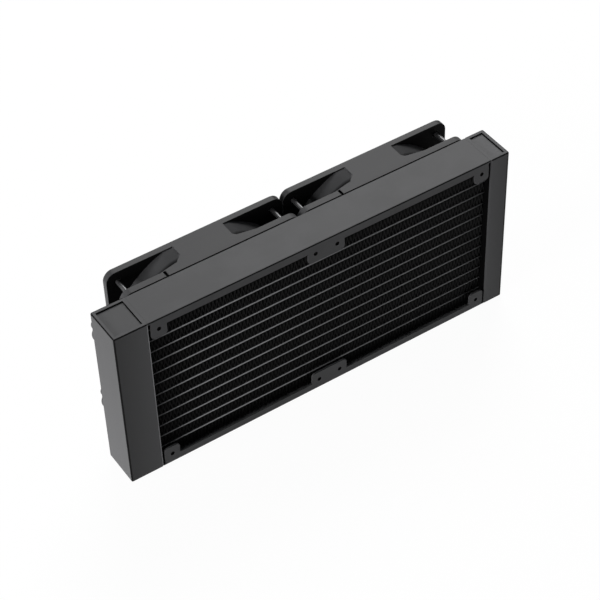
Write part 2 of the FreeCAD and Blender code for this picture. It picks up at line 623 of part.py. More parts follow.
def fan_frame(name, side):
    """Moulded fan frame: two square flanges, a flared duct, side panels, struts and the bearing post."""
    label = f"{name}_fan_frame"
    body = new_body(label)
    near_square = upright_sketch(body, f"{label}_near_square")
    flange_square(near_square)
    pad_back(body, f"{label}_near_flange", near_square, "Sizes.near_flange")
    duct = new_sketch(body, f"{label}_duct_profile", "XY_Plane")
    core = "Places.duct_bore / 2 - 2"
    throat = "Places.duct_bore / 2"
    waist = f"{throat} + Sizes.duct_wall"
    foot = f"{throat} + Sizes.flare_foot"
    near_face = "Sizes.near_flange"
    far_face = "(Sizes.fan_depth - Sizes.far_flange)"
    flare_end = f"{near_face} + Sizes.flare_height"
    outline(duct, [
        (core, "0"), (foot, "0"), (foot, near_face),
        (f"{throat} + Sizes.flare_middle", f"{near_face} + Sizes.flare_rise"),
        (f"{throat} + Sizes.flare_neck", flare_end), (waist, flare_end), (waist, "Sizes.fan_depth"),
        (core, "Sizes.fan_depth"),
    ])
    turn(body, "Revolution", f"{label}_duct", duct)
    far_square = upright_sketch(body, f"{label}_far_square", far_face)
    flange_square(far_square)
    pad_back(body, f"{label}_far_flange", far_square, "Sizes.far_flange")
    panel = upright_sketch(body, f"{label}_panel_outline", near_face)
    half = "Sizes.fan_size / 2"
    rectangle(panel, "-Sizes.panel_left", f"{half} - 6", "Sizes.panel_right", half)
    panel_pad = pad_back(body, f"{label}_panel", panel, f"{far_face} - {near_face}")
    round_pattern(body, f"{label}_panels", [panel_pad], near_square, "4")
    trim = upright_sketch(body, f"{label}_trim_outline")
    rectangle(trim, "-Sizes.fan_size", "-Sizes.fan_size", "Sizes.fan_size", "Sizes.fan_size")
    flange_square(trim)
    trimmed = feature(body, "Pocket", f"{label}_trim", trim, through=True)
    open_side = size("fan_depth")

    def is_open_rim(edge):
        return near(edge.BoundBox.YMin, open_side) and near(edge.BoundBox.YMax, open_side)

    soften(body, "Chamfer", f"{label}_rim", trimmed, is_open_rim, "Sizes.rim_bevel")
    bore = new_sketch(body, f"{label}_bore_profile", "XY_Plane")
    outline(bore, [
        ("0", "-1"), (throat, "-1"), (throat, "Sizes.fan_depth - Sizes.mouth_depth"),
        (f"{throat} + Sizes.mouth_flare", "Sizes.fan_depth + 1"), ("0", "Sizes.fan_depth + 1"),
    ])
    turn(body, "Groove", f"{label}_bore", bore)
    holes = upright_sketch(body, f"{label}_hole_square")
    for x in ("-Places.hole_pitch / 2", "Places.hole_pitch / 2"):
        for z in ("-Places.hole_pitch / 2", "Places.hole_pitch / 2"):
            circle(holes, "Sizes.fan_hole / 2", x, z)
    feature(body, "Pocket", f"{label}_holes", holes, through=True)
    slit = upright_sketch(body, f"{label}_slit_outline")
    rectangle(slit, "-Sizes.slit_offset - Sizes.slit_width / 2", "Places.duct_bore / 2",
              "-Sizes.slit_offset + Sizes.slit_width / 2", "Sizes.fan_size / 2")
    feature(body, "Pocket", f"{label}_slit", slit, near_face)
    plate = upright_sketch(body, f"{label}_motor_plate_outline")
    circle(plate, "Places.motor_plate_diameter / 2")
    pad_back(body, f"{label}_motor_plate", plate, "Sizes.motor_plate")
    strut = upright_sketch(body, f"{label}_strut_outline")
    hub_end = "Places.motor_plate_diameter / 2 - 1.5"
    duct_end = "Places.duct_bore / 2 + 0.6"
    outline(strut, [
        ("-Sizes.strut_width / 2", hub_end), ("Sizes.strut_width / 2", hub_end),
        ("Sizes.strut_sweep + Sizes.strut_width / 2", duct_end),
        ("Sizes.strut_sweep - Sizes.strut_width / 2", duct_end),
    ], {1: "-Places.duct_bore", 3: "Places.duct_bore"})
    strut_pad = pad_back(body, f"{label}_strut", strut, "Sizes.strut_depth")
    round_pattern(body, f"{label}_struts", [strut_pad], strut, "Sizes.strut_count")
    post = upright_sketch(body, f"{label}_post_outline")
    circle(post, "Places.post_outer")
    circle(post, "Places.post_inner")
    pad_back(body, f"{label}_post", post, "Sizes.post_top")
    return fan_place(body, side)


def blade_section(body, name, radius, chord, angle, shift):
    """Curved blade section of even thickness, on a plane square to the radius."""
    sketch = new_sketch(body, name, "YZ_Plane", radius)
    sketch.AttachmentOffset = Placement(Vector(), Rotation(Vector(0, 0, 1), 0))
    sketch.setExpression("AttachmentOffset.Base.x", "Sizes.blade_middle")
    sketch.setExpression("AttachmentOffset.Base.y", shift)
    sketch.setExpression("AttachmentOffset.Rotation.Angle", angle)
    half = f"({chord}) / 2"
    bend = f"(({chord})^2 / (8 * Sizes.blade_camber) + Sizes.blade_camber / 2)"
    outline(sketch, [
        (f"-{half}", "0"), (half, "0"), (half, "Sizes.blade_sheet"), (f"-{half}", "Sizes.blade_sheet"),
    ], {0: f"-{bend}", 2: bend})
    return sketch


def impeller(name, side):
    """Moulded rotor: closed hub with a shaft boss and swept, twisted blades."""
    label = f"{name}_fan_impeller"
    outer = "Sizes.hub_diameter / 2"
    boss = "Sizes.boss_diameter / 2"
    shaft_hole = "Sizes.shaft_diameter / 2 + Sizes.fit_gap"
    boss_end = "Places.hub_ceiling - Sizes.boss_length"
    ceiling = "Places.hub_ceiling"
    body = lathe_body(label, [
        ("0", ceiling), (shaft_hole, ceiling), (shaft_hole, boss_end), (boss, boss_end), (boss, ceiling),
        ("Places.hub_bore", ceiling), ("Places.hub_bore", "Sizes.hub_start"), (outer, "Sizes.hub_start"),
        (outer, "Sizes.hub_end - Sizes.hub_bevel"), (f"{outer} - Sizes.hub_bevel", "Sizes.hub_end"),
        ("0", "Sizes.hub_end"),
    ])
    tip = "(Places.duct_bore / 2 - Sizes.blade_tip_gap)"
    root = f"({outer} - 0.6)"
    middle = f"({root} + {tip}) / 2"
    middle_chord = "(Sizes.root_chord + Sizes.tip_chord) / 2"
    middle_angle = "90 + (Sizes.root_angle + Sizes.tip_angle) / 2 - 2"
    middle_sweep = "0.35 * Sizes.blade_sweep"
    sections = [
        blade_section(body, f"{label}_root", root, "Sizes.root_chord", "90 + Sizes.root_angle", "0"),
        blade_section(body, f"{label}_middle", middle, middle_chord, middle_angle, middle_sweep),
        blade_section(body, f"{label}_tip", f"{tip} + 3", "Sizes.tip_chord", "90 + Sizes.tip_angle",
                      "Sizes.blade_sweep"),
    ]
    blade = body.newObject("PartDesign::AdditiveLoft", f"{label}_blade")
    blade.Profile = sections[0]
    blade.Sections = sections[1:]
    blade.Ruled = True
    facing = upright_sketch(body, f"{label}_axis")
    circle(facing, tip)
    facing.Visibility = False
    round_pattern(body, f"{label}_blades", [blade], facing, "Sizes.blade_count")
    trim = new_sketch(body, f"{label}_trim_profile", "XY_Plane")
    rectangle(trim, tip, "-Sizes.fan_depth", f"{tip} + Sizes.tip_chord", "2 * Sizes.fan_depth")
    turn(body, "Groove", f"{label}_tips", trim)
    return fan_place(body, side)


def ring(label, inner, outer, start, length):
    """Plain ring turned about Y."""
    end = f"{start} + {length}"
    return lathe_body(label, [(inner, start), (outer, start), (outer, end), (inner, end)])


def rotor_yoke(name, side):
    """Steel ring that closes the magnet's field."""
    body = ring(f"{name}_rotor_yoke", "Places.yoke_inner", "Places.yoke_outer", "Sizes.hub_start + 0.6",
                "Places.hub_ceiling - Sizes.hub_start - 0.6")
    return fan_place(body, side)


def magnet_ring(name, side):
    body = ring(f"{name}_magnet_ring", "Places.magnet_inner", "Places.magnet_outer", "Sizes.magnet_start",
                "Sizes.magnet_length")
    return fan_place(body, side)


def fan_shaft(name, side):
    """Steel pin pressed into the hub's boss."""
    radius = "Sizes.shaft_diameter / 2"
    body = lathe_body(f"{name}_fan_shaft", [
        ("0", "Sizes.shaft_tip"), (radius, "Sizes.shaft_tip"), (radius, "Places.hub_ceiling"),
        ("0", "Places.hub_ceiling"),
    ])
    return fan_place(body, side)


def shaft_clip(name, side):
    """Washer pushed onto the shaft's lower end, which keeps the rotor from pulling out."""
    hole = "Sizes.shaft_diameter / 2 + Sizes.fit_gap"
    start = "Sizes.bearing_floor - Sizes.clip_play - Sizes.clip_thickness"
    body = ring(f"{name}_shaft_clip", hole, "Sizes.clip_diameter / 2", start, "Sizes.clip_thickness")
    return fan_place(body, side)


def fan_bearing(name, side):
    bore = "Sizes.shaft_diameter / 2 + Sizes.shaft_clearance"
    length = "Sizes.post_top - Sizes.bearing_floor"
    body = ring(f"{name}_fan_bearing", bore, "Sizes.sleeve_diameter / 2", "Sizes.bearing_floor", length)
    return fan_place(body, side)


def stator_core(name, side):
    """Lamination stack with four poles."""
    label = f"{name}_stator_core"
    body = ring(label, "Places.stator_bore", "Places.stator_bore + Sizes.stator_ring", "Sizes.stator_start",
                "Sizes.stator_length")
    arm = upright_sketch(body, f"{label}_arm_outline", "Sizes.stator_start")
    shoe_inner = "(Places.pole_outer - Sizes.pole_shoe)"
    rectangle(arm, "-Sizes.pole_arm / 2", "Places.stator_bore + Sizes.stator_ring / 2", "Sizes.pole_arm / 2",
              f"{shoe_inner} + Sizes.pole_shoe / 2")
    arm_pad = pad_back(body, f"{label}_arm", arm, "Sizes.stator_length")
    shoe = upright_sketch(body, f"{label}_shoe_outline", "Sizes.stator_start")
    sine = "sin(Sizes.shoe_angle / 2)"
    cosine = "cos(Sizes.shoe_angle / 2)"
    outline(shoe, [
        (f"{shoe_inner} * {sine}", f"{shoe_inner} * {cosine}"),
        (f"Places.pole_outer * {sine}", f"Places.pole_outer * {cosine}"),
        (f"-Places.pole_outer * {sine}", f"Places.pole_outer * {cosine}"),
        (f"-{shoe_inner} * {sine}", f"{shoe_inner} * {cosine}"),
    ], {1: "Places.pole_outer", 3: f"-{shoe_inner}"})
    shoe_pad = pad_back(body, f"{label}_shoe", shoe, "Sizes.stator_length")
    round_pattern(body, f"{label}_poles", [arm_pad, shoe_pad], arm, "Sizes.pole_count")
    return fan_place(body, side)


def stator_windings(name, side):
    """One wound coil round each pole's arm."""
    gap = size("winding_gap")
    build = size("winding_build")
    arm_half = size("pole_arm") / 2 + gap
    low = place("stator_bore") + size("stator_ring") + gap
    shoe_inner = place("pole_outer") - size("pole_shoe")
    high = math.sqrt(shoe_inner ** 2 - (arm_half + build) ** 2) - gap
    start = size("stator_start") - gap
    length = size("stator_length") + 2 * gap
    coils = []
    for index in range(int(size("pole_count"))):
        outside = Part.makeBox(2 * (arm_half + build), length + 2 * build, high - low,
                               Vector(-arm_half - build, start - build, low))
        inside = Part.makeBox(2 * arm_half, length, high - low, Vector(-arm_half, start, low))
        coil = outside.cut(inside)
        coil.rotate(Vector(), Vector(0, 1, 0), index * 360.0 / size("pole_count"))
        coils.append(coil)
    windings = doc.addObject("Part::Feature", f"{name}_stator_windings")
    windings.Shape = Part.makeCompound(coils)
    return fan_place(windings, side)


def motor_board(name, side):
    body = ring(f"{name}_motor_board", "Places.stator_bore", "Sizes.board_diameter / 2", "Sizes.motor_plate",
                "Sizes.board_thickness")
    return fan_place(body, side)


def screw_shape():
    """Cylinder head screw, seated at local Y = 0 and pointing towards -Y."""
    shank = "Sizes.screw_diameter / 2"
    head = "Sizes.screw_head_diameter / 2"
    tip = "-(Sizes.fan_depth + Sizes.plate_sheet + Sizes.screw_end)"
    body = lathe_body("screw_pattern", [
        ("0", tip), (shank, tip), (shank, "0"), (head, "0"), (head, "Sizes.screw_head_height"),
        ("0", "Sizes.screw_head_height"),
    ])
    doc.recompute()
    return body.Shape.copy()


def fan_screws():
    """Eight equal screws, four through each fan into the radiator's back tabs."""
    pattern = screw_shape()
    half = place("hole_pitch") / 2
    seat = place("back_y") + size("fan_depth")
    screws = []
    for side in (-1, 1):
        fan_x = place("core_x") + side * place("fan_pitch") / 2
        for x in (fan_x - half, fan_x + half):
            for z in (place("mid_z") - half, place("mid_z") + half):
                screw = pattern.copy()
                screw.translate(Vector(x, seat, z))
                screws.append(screw)
    group = doc.addObject("Part::Feature", "fan_screws")
    group.Shape = Part.makeCompound(screws)
    return node(group)


tank("left_tank", 1)
tank("right_tank", -1)
tank_caps("left_tank")
tank_caps("right_tank")
divider_bottom = "Places.mid_z - Sizes.divider_thickness / 2"
tank_plate("left_tank_divider", "left_tank", divider_bottom, "Sizes.divider_thickness")
side_plate("top_side_plate", False)
side_plate("bottom_side_plate", True)
for tube_index in range(int(size("tube_count"))):
    coolant_tube(tube_index)
for strip_index in range(int(size("tube_count")) + 1):
    fin_strip(strip_index)
hose_fitting("inlet_fitting", "Places.inlet_height")
hose_fitting("outlet_fitting", "Sizes.outlet_height")
for fan_name, fan_side in (("left", -1), ("right", 1)):
    fan_frame(fan_name, fan_side)
    impeller(fan_name, fan_side)
    rotor_yoke(fan_name, fan_side)
    magnet_ring(fan_name, fan_side)
    fan_shaft(fan_name, fan_side)
    shaft_clip(fan_name, fan_side)
    fan_bearing(fan_name, fan_side)
    stator_core(fan_name, fan_side)
    stator_windings(fan_name, fan_side)
    motor_board(fan_name, fan_side)
fan_screws()

doc.recompute()
for item in doc.Objects:
    if "Invalid" in item.State or "Error" in item.State:
        raise RuntimeError(f"{item.Name} failed: {item.State}")
for piece in NODES:
    if piece.Shape.isNull() or not piece.Shape.isValid():
        raise RuntimeError(f"{piece.Label} has no valid shape")

os.makedirs("parts", exist_ok=True)
for piece in NODES:
    piece.Shape.exportStep(f"parts/{piece.Label}.step")
    print(piece.Label, len(piece.Shape.Solids), round(piece.Shape.Volume, 1))
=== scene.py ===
import math

import bmesh
import bpy
from mathutils import Matrix, Vector


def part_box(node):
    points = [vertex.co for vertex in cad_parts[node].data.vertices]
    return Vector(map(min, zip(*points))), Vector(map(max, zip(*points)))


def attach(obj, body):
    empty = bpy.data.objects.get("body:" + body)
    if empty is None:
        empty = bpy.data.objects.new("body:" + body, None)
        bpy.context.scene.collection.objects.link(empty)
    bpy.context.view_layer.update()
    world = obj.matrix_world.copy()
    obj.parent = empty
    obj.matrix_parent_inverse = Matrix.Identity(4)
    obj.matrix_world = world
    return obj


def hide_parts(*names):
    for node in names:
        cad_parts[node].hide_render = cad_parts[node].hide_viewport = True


# Radiator of a liquid cooler with two fans on its back, in matte black. Lengths are in metres.

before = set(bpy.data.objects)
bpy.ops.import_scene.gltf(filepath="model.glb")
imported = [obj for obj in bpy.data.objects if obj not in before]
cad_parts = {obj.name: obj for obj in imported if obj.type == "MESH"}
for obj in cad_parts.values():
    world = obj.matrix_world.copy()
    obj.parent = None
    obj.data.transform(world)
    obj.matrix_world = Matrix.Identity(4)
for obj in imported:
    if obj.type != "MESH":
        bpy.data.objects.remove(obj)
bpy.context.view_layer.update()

MM = 0.001
SIDES = ("left", "right")
TUBE_COUNT = 12
FOLD_COUNT = 98
SHEET = 0.12 * MM
TUBE_WALL = 0.3 * MM
SCREW_SQUARE = 105.0 * MM
SCREW_HOLE_REACH = 2.6 * MM
DUCT_RADIUS = 63.0 * MM
FINE_BEVEL = 0.12 * MM
FLAT = 0.93


def span(node):
    """Lowest corner, highest corner and middle of a solid."""
    low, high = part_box(node)
    return low, high, (low + high) / 2


fan_places = [span(f"{side}_fan_frame")[2].x for side in SIDES]
fan_height = span("left_fan_frame")[2].z
fan_near, fan_far = (corner.y for corner in span("left_fan_frame")[:2])
left_low, left_high, left_middle = span("left_tank")
right_low, right_high, _ = span("right_tank")


# Materials

def node_material(name, color, roughness, metallic=0.0, specular=0.5):
    """Principled material; returns it with its nodes, links and shader."""
    material = bpy.data.materials.new(name)
    material.use_nodes = True
    nodes, links = material.node_tree.nodes, material.node_tree.links
    shader = nodes["Principled BSDF"]
    shader.inputs["Base Color"].default_value = (*color, 1.0)
    shader.inputs["Roughness"].default_value = roughness
    shader.inputs["Metallic"].default_value = metallic
    shader.inputs["Specular IOR Level"].default_value = specular
    return material, nodes, links, shader


def grain(nodes, links, scale, detail=3.0):
    """Noise over the object's own coordinates."""
    place = nodes.new("ShaderNodeTexCoord")
    noise = nodes.new("ShaderNodeTexNoise")
    noise.inputs["Scale"].default_value = scale
    noise.inputs["Detail"].default_value = detail
    links.new(place.outputs["Object"], noise.inputs["Vector"])
    return noise.outputs["Fac"]


def vary(nodes, links, source, low, high, target):
    """Drives a number of the shader between two values."""
    spread = nodes.new("ShaderNodeMapRange")
    spread.inputs["From Min"].default_value = 0.3
    spread.inputs["From Max"].default_value = 0.7
    spread.inputs["To Min"].default_value = low
    spread.inputs["To Max"].default_value = high
    links.new(source, spread.inputs["Value"])
    links.new(spread.outputs["Result"], target)


def roughen(nodes, links, source, strength, depth, shader):
    """Bump in the surface."""
    bump = nodes.new("ShaderNodeBump")
    bump.inputs["Strength"].default_value = strength
    bump.inputs["Distance"].default_value = depth
    links.new(source, bump.inputs["Height"])
    links.new(bump.outputs["Normal"], shader.inputs["Normal"])


def tint(nodes, links, source, dark, light, shader):
    """Lets the colour drift between two near tones."""
    ramp = nodes.new("ShaderNodeValToRGB")
    ramp.color_ramp.elements[0].position = 0.35
    ramp.color_ramp.elements[0].color = (*dark, 1.0)
    ramp.color_ramp.elements[1].position = 0.65
    ramp.color_ramp.elements[1].color = (*light, 1.0)
    links.new(source, ramp.inputs["Fac"])
    links.new(ramp.outputs["Color"], shader.inputs["Base Color"])


def coated(name, tone, roughness, grain_scale, bump, depth, specular=0.5, metallic=0.0):
    """Fine-grained coat whose tone and gloss drift a little."""
    color = (tone, tone, tone * 1.03)
    material, nodes, links, shader = node_material(name, color, roughness, metallic, specular)
    broad = grain(nodes, links, 45.0)
    fine = grain(nodes, links, grain_scale, 2.0)
    dark, light = (tuple(share * part for part in color) for share in (0.92, 1.08))
    tint(nodes, links, broad, dark, light, shader)
    vary(nodes, links, fine, roughness - 0.05, roughness + 0.05, shader.inputs["Roughness"])
    roughen(nodes, links, fine, bump, depth, shader)
    return material


def graded(name, axis, stops, specular=0.15):
    """Coat whose tone changes along an axis of the object, by (place, tone) pairs."""
    material, nodes, links, shader = node_material(name, (stops[0][1],) * 3, 0.50, specular=specular)
    start, end = stops[0][0], stops[-1][0]
    place = nodes.new("ShaderNodeTexCoord")
    parts = nodes.new("ShaderNodeSeparateXYZ")
    links.new(place.outputs["Object"], parts.inputs["Vector"])
    run = nodes.new("ShaderNodeMapRange")
    run.inputs["From Min"].default_value = start
    run.inputs["From Max"].default_value = end
    links.new(parts.outputs[axis], run.inputs["Value"])
    ramp = nodes.new("ShaderNodeValToRGB")
    elements = ramp.color_ramp.elements
    elements.remove(elements[1])
    for number, (stop, tone) in enumerate(stops):
        share = (stop - start) / (end - start)
        element = elements[0] if number == 0 else elements.new(share)
        element.position = share
        element.color = (tone, tone, tone * 1.03, 1.0)
    links.new(run.outputs["Result"], ramp.inputs["Fac"])
    links.new(ramp.outputs["Color"], shader.inputs["Base Color"])
    fine = grain(nodes, links, 2600.0, 2.0)
    vary(nodes, links, fine, 0.45, 0.55, shader.inputs["Roughness"])
    roughen(nodes, links, fine, 0.12, 0.06 * MM, shader)
    return material


def tinted(name, color, roughness, metallic=0.0, scale=400.0):
    """Plain surface of a hidden piece, with a slight drift in its tone."""
    material, nodes, links, shader = node_material(name, color, roughness, metallic)
    mottle = grain(nodes, links, scale)
    dark, light = (tuple(share * part for part in color) for share in (0.88, 1.12))
    tint(nodes, links, mottle, dark, light, shader)
    return material


powder_coat = coated("powder_coat", 0.074, 0.50, 2600.0, 0.12, 0.06 * MM, 0.15)
# One coat on all four tank caps, in two painted tones: painted shade on the left caps, painted light on the
# right caps.
cap_painted_shade = coated("cap_painted_shade", 0.067, 0.50, 2600.0, 0.12, 0.06 * MM, 0.15)
cap_painted_light = coated("cap_painted_light", 0.094, 0.50, 2600.0, 0.12, 0.06 * MM, 0.15)
# Painted shade: a near-black coat on bends, bevels, fillets and screw-hole walls, where shade falls.
painted_edge_shade = coated("painted_edge_shade", 0.004, 0.55, 2600.0, 0.08, 0.04 * MM, 0.05)
# Painted highlight: a light coat on the left tank's front corner by the core.
painted_edge_highlight = coated("painted_edge_highlight", 0.480, 0.40, 2600.0, 0.08, 0.04 * MM, 0.3)
recess_shade = coated("recess_shade", 0.003, 0.60, 2600.0, 0.08, 0.04 * MM, 0.01)
# Tubes: the lit copy is a painted light tone far above the coat's, and the shaded copy below is painted
# shade.
tube_painted_light = coated("tube_painted_light", 0.200, 0.42, 1800.0, 0.10, 0.05 * MM, 0.4)
tube_shade = coated("tube_shade", 0.020, 0.50, 1800.0, 0.10, 0.05 * MM, 0.1)
# Painted shade: fins far darker than the coat, standing in for the shade inside the core.
fin_painted_shade = coated("fin_painted_shade", 0.006, 0.55, 1800.0, 0.10, 0.05 * MM, 0.1)
cap_painted_light_and_shade = {"left": cap_painted_shade, "right": cap_painted_light}
# Painted light and shade across the tanks' front faces: both lighter towards the core, the right one with a
# painted shade line on its last 1.5 mm.
front_painted_light = {
    "left": graded("left_front_painted_light", "X", ((left_low.x, 0.044), (left_middle.x, 0.070),
                                            (left_high.x, 0.098))),
    "right": graded("right_front_painted_light", "X", ((right_low.x, 0.094), (right_high.x - 1.8 * MM, 0.056),
                                              (right_high.x - 1.5 * MM, 0.005), (right_high.x, 0.004))),
}
# Painted light on the tanks' outer end faces, lighter than the coat and lighter towards the bottom.
end_painted_light = graded("end_painted_light", "Z", ((left_low.z, 0.094), (left_high.z, 0.068)))
frame_plastic = coated("frame_plastic", 0.060, 0.52, 3200.0, 0.10, 0.04 * MM, 0.12)
# Painted shade on the frame's outer sides: a little darker than the flanges, with a painted shade band near
# the far rim.
frame_side_painted_shade = graded("frame_side_painted_shade", "Y", ((fan_near, 0.050), (fan_far - 1.75 * MM, 0.050),
                                       (fan_far - 1.55 * MM, 0.030), (fan_far - 0.85 * MM, 0.030),
                                       (fan_far - 0.65 * MM, 0.050), (fan_far, 0.050)))
# Painted shade: near-black plastic for the faces between the flanges and the near rim's bevel.
frame_inside_painted_shade = coated("frame_inside_painted_shade", 0.005, 0.60, 3200.0, 0.10, 0.04 * MM, 0.05)
# Painted shade and light on the duct between the flanges: near-black by the near flange, lighter towards
# the far flange.
duct_painted_shade_and_light = graded("duct_painted_shade_and_light", "Y", ((fan_near + 3.45 * MM, 0.004), (fan_near + 8.45 * MM, 0.005),
                                           (fan_near + 10.65 * MM, 0.048), (fan_near + 19.85 * MM, 0.054)),
                      specular=0.03)
rotor_plastic = coated("rotor_plastic", 0.030, 0.42, 3200.0, 0.06, 0.03 * MM, 0.3)
screw_black = coated("screw_black", 0.070, 0.30, 1500.0, 0.05, 0.02 * MM, metallic=0.6)
plain_steel = tinted("plain_steel", (0.50, 0.50, 0.51), 0.32, 1.0)
ferrite = tinted("ferrite", (0.06, 0.06, 0.063), 0.7)
bronze = tinted("bronze", (0.50, 0.34, 0.17), 0.45, 1.0)
copper = tinted("copper", (0.62, 0.28, 0.15), 0.35, 1.0)
board_green = tinted("board_green", (0.04, 0.16, 0.08), 0.4)


# Shapes

def finished(shape, name, body, material, replaced, extra_materials=(), smooth_angle=40.0):
    """Turns a bmesh into a piece of the object that rides on a body."""
    mesh = bpy.data.meshes.new(name)
    shape.to_mesh(mesh)
    shape.free()
    for surface in (material, *extra_materials):
        mesh.materials.append(surface)
    mesh.shade_smooth()
    mesh.set_sharp_from_angle(angle=math.radians(smooth_angle))
    piece = bpy.data.objects.new(name, mesh)
    bpy.context.scene.collection.objects.link(piece)
    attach(piece, body)
    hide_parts(replaced)
    return piece


def even_normals(piece):
    """Keeps wide faces flat in shading, beside narrow bevels."""
    modifier = piece.modifiers.new("even_normals", "WEIGHTED_NORMAL")
    modifier.keep_sharp = True
    modifier.weight = 80
    return piece


def cad_shape(node, whole_faces=True):
    """Shape of a solid with its corners joined, and its flat faces whole or else in quads and triangles."""
    shape = bmesh.new()
    shape.from_mesh(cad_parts[node].data)
    bmesh.ops.remove_doubles(shape, verts=shape.verts, dist=0.001 * MM)
    flat = math.radians(0.5)
    if whole_faces:
        bmesh.ops.dissolve_limit(shape, angle_limit=flat, verts=shape.verts, edges=shape.edges)
    else:
        bmesh.ops.join_triangles(shape, faces=shape.faces, angle_face_threshold=flat,
                                 angle_shape_threshold=math.pi)
    return shape


def break_edges(shape, width, test=None):
    """Bevels the sharp edges of a shape, all of them or those that pass a test."""
    limit = math.radians(35.0)
    sharp = [edge for edge in shape.edges if edge.is_manifold and edge.calc_face_angle(0.0) > limit
             and (test is None or test(edge))]
    bmesh.ops.bevel(shape, geom=sharp, offset=width, offset_type="OFFSET", segments=2, profile=0.5,
                    affect="EDGES", clamp_overlap=False, material=-1)


def shade(shape, index, test):
    """Gives the faces that pass a test another of the piece's materials."""
    shape.normal_update()
    for face in shape.faces:
        if test(face):
            face.material_index = index


def leaning(face, limit=FLAT):
    """True for faces that lean between two main directions, as bends and bevels do."""
    return max(abs(part) for part in face.normal) < limit


def dress(node, body, material, width):
    """Finished copy of a solid with its edges broken."""
    shape = cad_shape(node)
    break_edges(shape, width)
    return even_normals(finished(shape, f"{node}_finish", body, material, node))


def side_plate(node):
    """Folded plate with painted shade on the bends along its two long edges and on the walls of its screw
    holes.
    """
    shape = cad_shape(node)
    break_edges(shape, FINE_BEVEL)

    def in_screw_hole(face):
        place = face.calc_center_median()
        across = min(abs(abs(place.x - fan_x) - SCREW_SQUARE / 2) for fan_x in fan_places)
        up = abs(abs(place.z - fan_height) - SCREW_SQUARE / 2)
        return math.hypot(across, up) < SCREW_HOLE_REACH and abs(face.normal.y) < 0.5

    edge_shade_slot = 1
    # Painted shade on the bends and in the screw holes.
    shade(shape, edge_shade_slot, lambda face: leaning(face) and abs(face.normal.x) < 0.3)
    shade(shape, edge_shade_slot, in_screw_hole)
    piece = finished(shape, f"{node}_finish", "radiator", powder_coat, node, (painted_edge_shade,))
    return even_normals(piece)


def end_tank(side):
    """End tank with painted shade on its rims, corners, inside and face to the core, painted light and
    shade graded across its front and end faces, and on the left tank a painted highlight on the front
    corner by the core.
    """
    node = f"{side}_tank"
    shape = cad_shape(node)
    low, high, _ = span(node)
    core_side = 1 if side == "left" else -1
    core_face = high.x if side == "left" else low.x
    skin = 0.5 * MM
    wall = 1.0 * MM

    def depth(point):
        return min(point.x - low.x, high.x - point.x, point.y - low.y, high.y - point.y)

    def midpoint(edge):
        return (edge.verts[0].co + edge.verts[1].co) / 2

    def outer_rim(edge):
        point = midpoint(edge)
        at_end = min(point.z - low.z, high.z - point.z) < 0.05 * MM
        return at_end and depth(point) < skin and abs(point.x - core_face) > 0.05 * MM

    def edge_shade_face(face):
        near_skin = depth(face.calc_center_median()) < wall
        return near_skin and leaning(face, 0.985) and core_side * face.normal.x < 0.1

    def inner_wall(face):
        return depth(face.calc_center_median()) > wall and abs(face.normal.z) < 0.2

    def front_corner(face):
        return face.normal.x > 0.1 and face.normal.y < -0.3 and abs(face.normal.z) < 0.1

    break_edges(shape, FINE_BEVEL, test=lambda edge: depth(midpoint(edge)) > skin)
    break_edges(shape, 0.65 * MM, test=outer_rim)
    edge_shade_slot, shade_slot, highlight_slot, front_light_slot, end_light_slot = range(1, 6)
    # Painted light and shade graded across the front face.
    shade(shape, front_light_slot, lambda face: face.normal.y < -FLAT)
    # Painted light on the outer end face.
    shade(shape, end_light_slot, lambda face: core_side * face.normal.x < -FLAT)
    # Painted shade on the rim bevels and corner fillets.
    shade(shape, edge_shade_slot, edge_shade_face)
    shade(shape, shade_slot, lambda face: core_side * face.normal.x > FLAT)
    shade(shape, shade_slot, inner_wall)
    # Painted highlight on the left tank's front corner by the core.
    if side == "left":
        shade(shape, highlight_slot, front_corner)
    piece = finished(shape, f"{node}_finish", "radiator", powder_coat, node,
                     (painted_edge_shade, recess_shade, painted_edge_highlight, front_painted_light[side], end_painted_light))
    return even_normals(piece)


def fill_duct(shape, low, high, middle):
    """Brings the duct's outside, between the flanges, out to the flat sides of the frame."""
    flat_side = (high.z - low.z) / 2 - 0.7 * MM
    waist = DUCT_RADIUS - 0.1 * MM
    thinnest = 59.3 * MM
    flare_neck = 60.0 * MM
    for vertex in shape.verts:
        across, up = vertex.co.x - middle.x, vertex.co.z - middle.z
        radius = math.hypot(across, up)
        widest = max(abs(across), abs(up))
        depth = vertex.co.y - low.y
        between = 7.5 * MM < depth < 20.0 * MM
        if between and thinnest < radius < waist and widest < flat_side:
            full = DUCT_RADIUS if radius > flare_neck else waist
            grown = min(full, flat_side * radius / widest)
            vertex.co.x = middle.x + across * grown / radius
            vertex.co.z = middle.z + up * grown / radius


